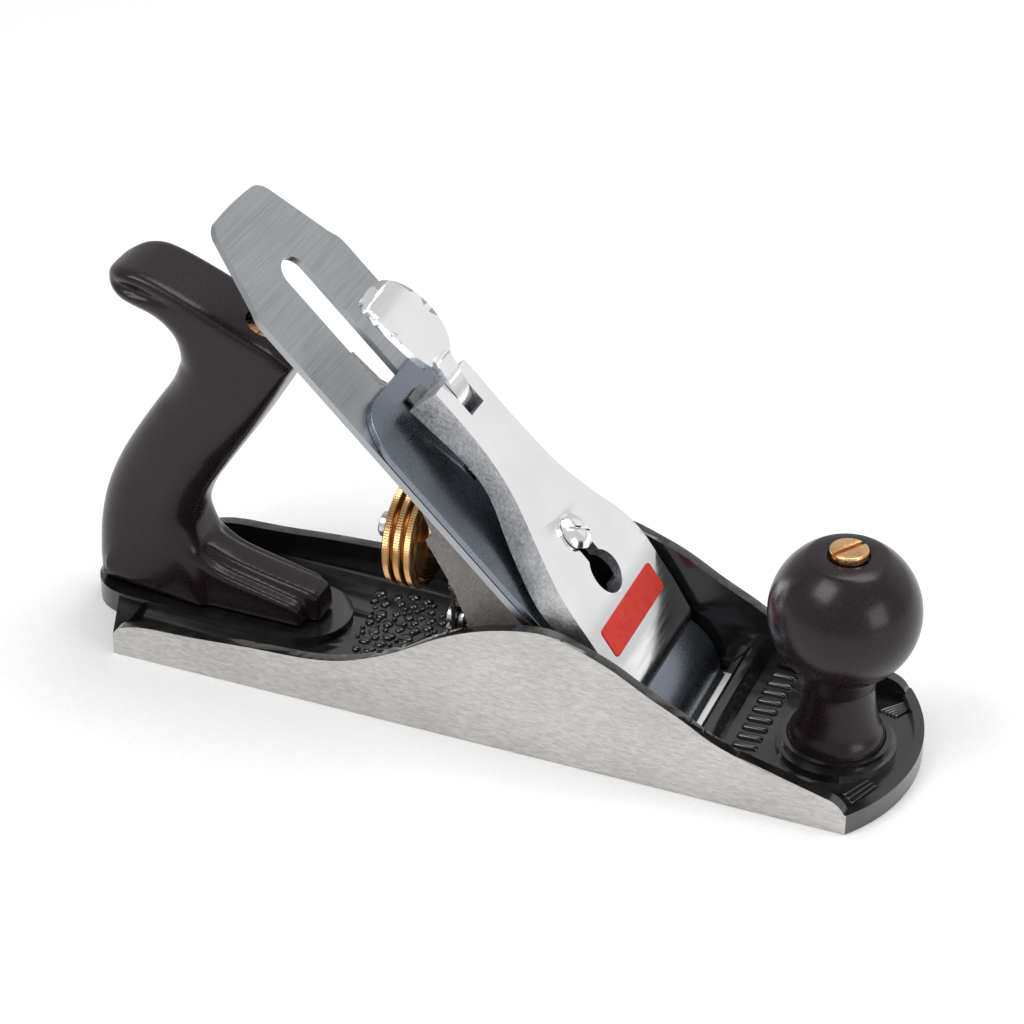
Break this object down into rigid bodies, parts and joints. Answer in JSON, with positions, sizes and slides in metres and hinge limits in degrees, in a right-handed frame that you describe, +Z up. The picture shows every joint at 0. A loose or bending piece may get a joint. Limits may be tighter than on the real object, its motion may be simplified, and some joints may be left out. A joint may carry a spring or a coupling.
{
  "type": "hand plane",
  "caption": "Metal bench plane of smoothing size with a frog, adjustable iron and cap iron, lever cap with cam, depth wheel, lateral lever, ball knob and moulded rear handle.",
  "frame": {"origin": "on the sole's underside, at the middle of its length and width", "axes": "+X towards the toe along the sole, +Y to the left of someone pushing the plane, +Z up off the sole"},
  "size_m": [0.245, 0.061, 0.1346],
  "materials": {
    "body_casting": "ground cheeks and sole, black japanned inside",
    "black_plastic": "satin moulded",
    "brass": "turned and knurled",
    "frog_grey": "grey enamelled casting",
    "zinc_steel": "bright plated",
    "blade_steel": "cross ground",
    "cap_steel": "blue grey, lengthwise grain",
    "chrome": "polished face, cast sides",
    "label_red": "enamel"
  },
  "bodies": {
    "plane_body": {"sole_casting": "body_casting", "knob": "black_plastic", "knob_rod": "zinc_steel", "knob_nut": "brass", "tote": "black_plastic", "tote_rod": "zinc_steel", "tote_nut": "brass", "frog_screws": "zinc_steel", "frog_screw_washers": "zinc_steel"},
    "frog_set": {"frog": "frog_grey", "frog_adjusting_clip": "zinc_steel", "clip_screw": "zinc_steel", "depth_stud": "zinc_steel", "yoke_pin": "zinc_steel", "lateral_rivet": "zinc_steel"},
    "frog_screw_drive": {"frog_adjusting_screw": "zinc_steel"},
    "wheel": {"depth_wheel": "brass"},
    "yoke_arm": {"yoke": "zinc_steel"},
    "iron_set": {"iron": "blade_steel", "cap_iron": "cap_steel", "cap_iron_screw": "zinc_steel"},
    "lateral_arm": {"lateral_lever": "zinc_steel", "lateral_roller": "zinc_steel"},
    "cap_screw": {"lever_cap_screw": "zinc_steel"},
    "lever_cap_set": {"lever_cap": "chrome", "name_label": "label_red", "lever_cap_spring": "zinc_steel", "spring_rivet": "zinc_steel", "cam_pin": "zinc_steel"},
    "cam": {"cam_lever": "chrome"}
  },
  "joints": [
    {"name": "frog_adjust_spin", "type": "hinge", "parent": "frog_set", "child": "frog_screw_drive", "pos_m": [-0.005, 0, 0.0175], "axis": [1, 0, 0], "range_deg": [-450.6, 450.6]},
    {"name": "frog_travel", "type": "slide", "parent": "plane_body", "child": "frog_set", "axis": [1, 0, 0], "range_m": [-0.001, 0.001]},
    {"name": "depth_wheel_spin", "type": "hinge", "parent": "frog_set", "child": "wheel", "pos_m": [-0.02, 0, 0.043], "axis": [1, 0, 0], "range_deg": [-980, 490]},
    {"name": "yoke_rock", "type": "hinge", "parent": "frog_set", "child": "yoke_arm", "pos_m": [-0.014, 0, 0.06], "axis": [0, 1, 0], "range_deg": [-9.73, 4.87]},
    {"name": "iron_feed", "type": "slide", "parent": "frog_set", "child": "iron_set", "axis": [-0.7071, 0, 0.7071], "range_m": [-0.001, 0.002]},
    {"name": "lateral_swing", "type": "hinge", "parent": "frog_set", "child": "lateral_arm", "pos_m": [-0.0222, 0, 0.07778], "axis": [0.7071, 0, 0.7071], "range_deg": [-6, 6]},
    {"name": "lever_cap_screw_spin", "type": "hinge", "parent": "frog_set", "child": "cap_screw", "pos_m": [0.01882, 0, 0.0495], "axis": [0.7071, 0, 0.7071], "continuous": true},
    {"name": "lever_cap_release", "type": "slide", "parent": "frog_set", "child": "lever_cap_set", "axis": [-0.7071, 0, 0.7071], "range_m": [0, 0.0136]},
    {"name": "cam_flip", "type": "hinge", "parent": "lever_cap_set", "child": "cam", "pos_m": [-0.01385, 0, 0.08867], "axis": [0, 1, 0], "range_deg": [0, 88]}
  ],
  "couplings": [
    {"joint": "frog_adjust_spin", "follows": "frog_travel", "rad_per_m": 7854},
    {"joint": "depth_wheel_spin", "follows": "iron_feed", "rad_per_m": -8539.7},
    {"joint": "yoke_rock", "follows": "iron_feed", "rad_per_m": -84.746}
  ]
}
